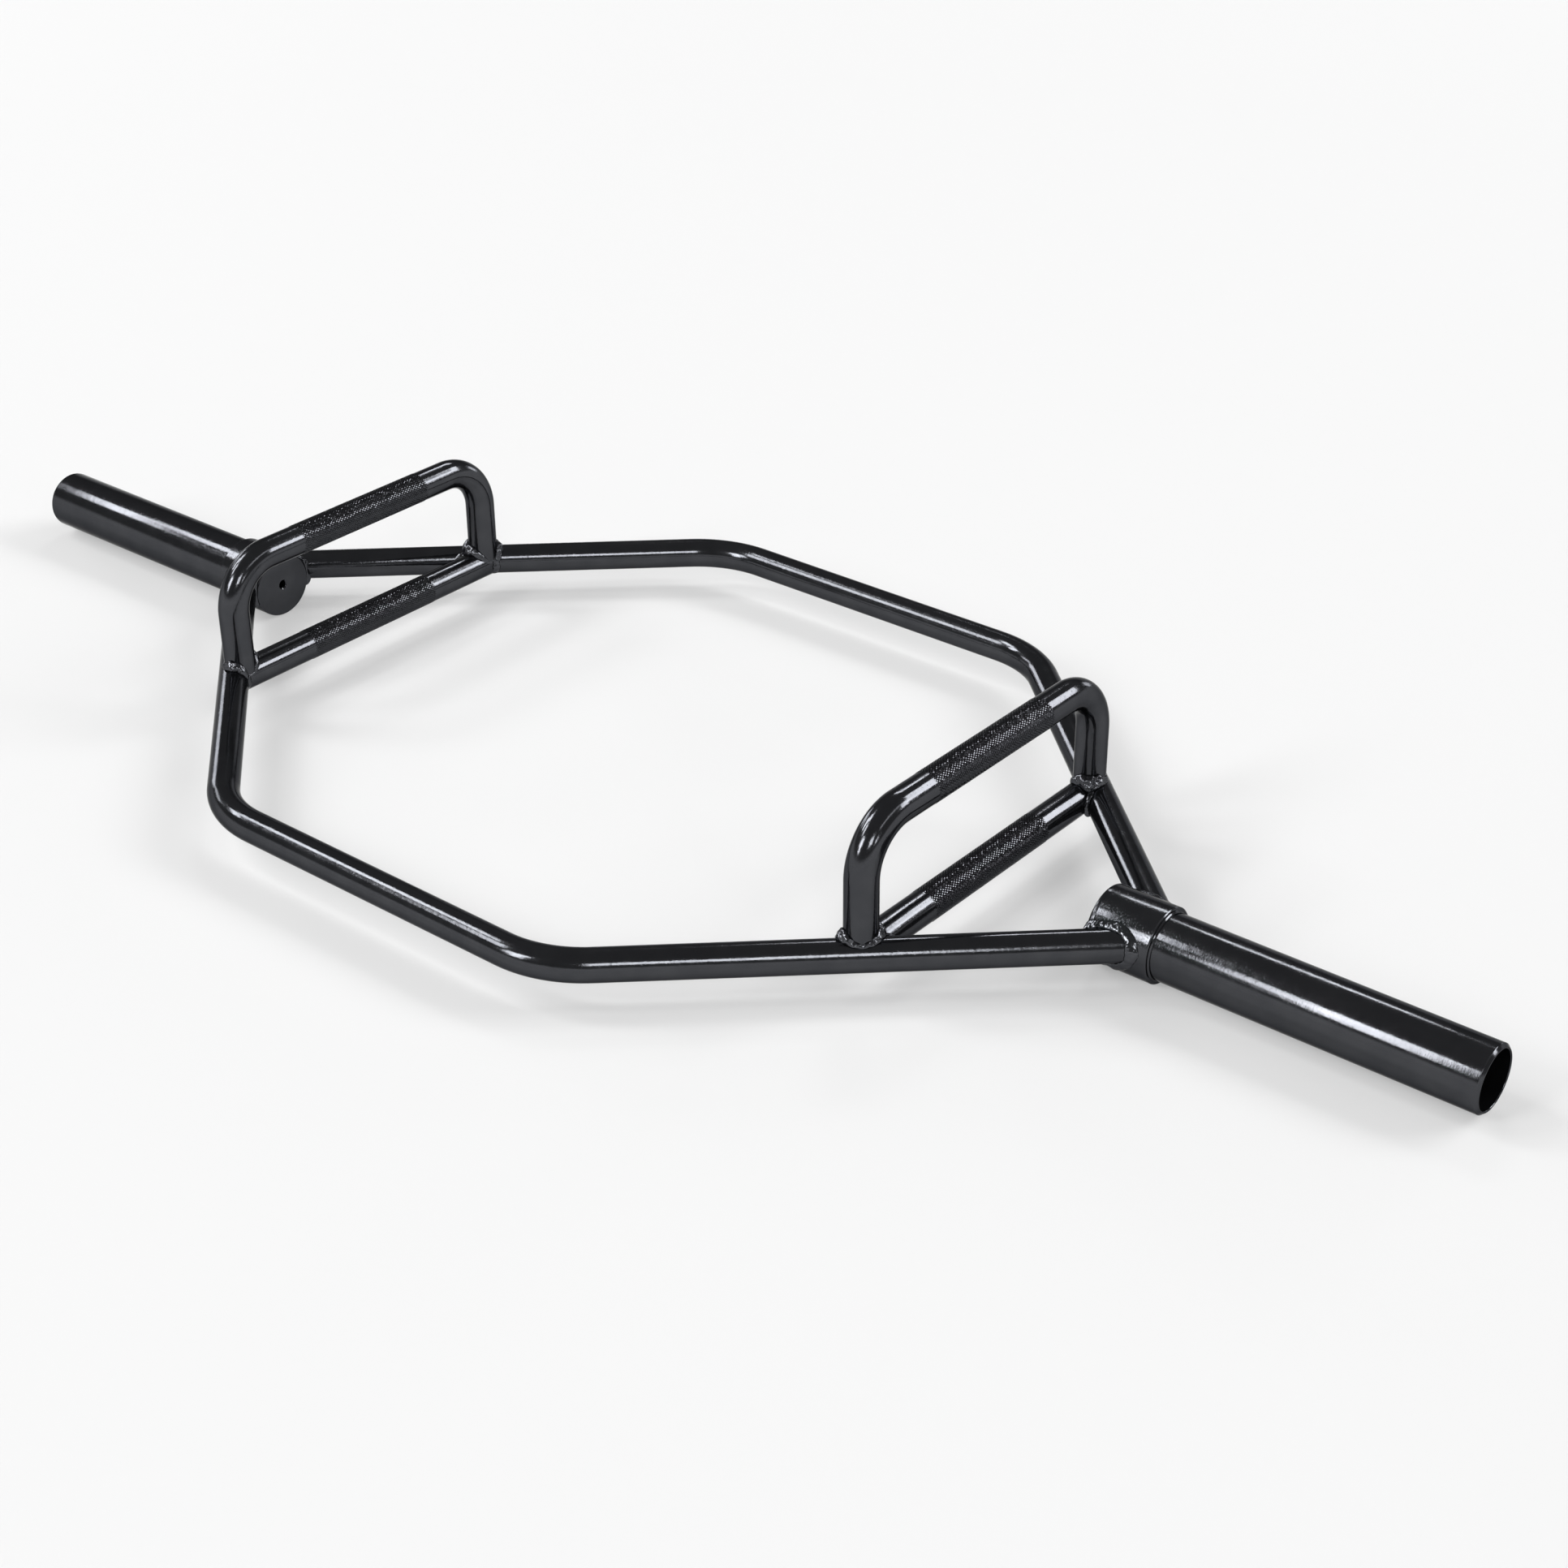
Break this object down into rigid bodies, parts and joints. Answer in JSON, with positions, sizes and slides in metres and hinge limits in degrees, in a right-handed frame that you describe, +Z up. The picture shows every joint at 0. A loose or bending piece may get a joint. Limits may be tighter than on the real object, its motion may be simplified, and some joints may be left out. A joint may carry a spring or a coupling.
{
  "type": "hex trap bar",
  "caption": "Welded hexagonal trap bar with low and raised knurled grips and fixed open-ended sleeves for large-hole weight plates.",
  "frame": {"origin": "on the floor under the middle of the bar, where the bar stands on its two collars", "axes": "+X along the sleeves to the right, +Y from the front rail to the rear rail, +Z up"},
  "size_m": [1.45, 0.61, 0.1399],
  "materials": {
    "frame_paint": "gloss",
    "grip_paint": "gloss over rolled knurling",
    "sleeve_paint": "gloss over fine turning marks",
    "weld_paint": "gloss over weld ripples"
  },
  "bodies": {
    "root": {"front_rail": "frame_paint", "rear_rail": "frame_paint", "right_sleeve": "sleeve_paint", "left_sleeve": "sleeve_paint", "right_collar": "frame_paint", "left_collar": "frame_paint", "right_end_plate": "frame_paint", "left_end_plate": "frame_paint", "right_low_handle": "grip_paint", "left_low_handle": "grip_paint", "right_high_handle": "grip_paint", "left_high_handle": "grip_paint", "right_sleeve_weld": "weld_paint", "left_sleeve_weld": "weld_paint", "right_front_collar_weld": "weld_paint", "right_rear_collar_weld": "weld_paint", "left_front_collar_weld": "weld_paint", "left_rear_collar_weld": "weld_paint", "right_front_outer_handle_weld": "weld_paint", "right_front_inner_handle_weld": "weld_paint", "right_rear_outer_handle_weld": "weld_paint", "right_rear_inner_handle_weld": "weld_paint", "left_front_outer_handle_weld": "weld_paint", "left_front_inner_handle_weld": "weld_paint", "left_rear_outer_handle_weld": "weld_paint", "left_rear_inner_handle_weld": "weld_paint", "right_front_leg_weld": "weld_paint", "right_rear_leg_weld": "weld_paint", "left_front_leg_weld": "weld_paint", "left_rear_leg_weld": "weld_paint"}
  },
  "joints": []
}
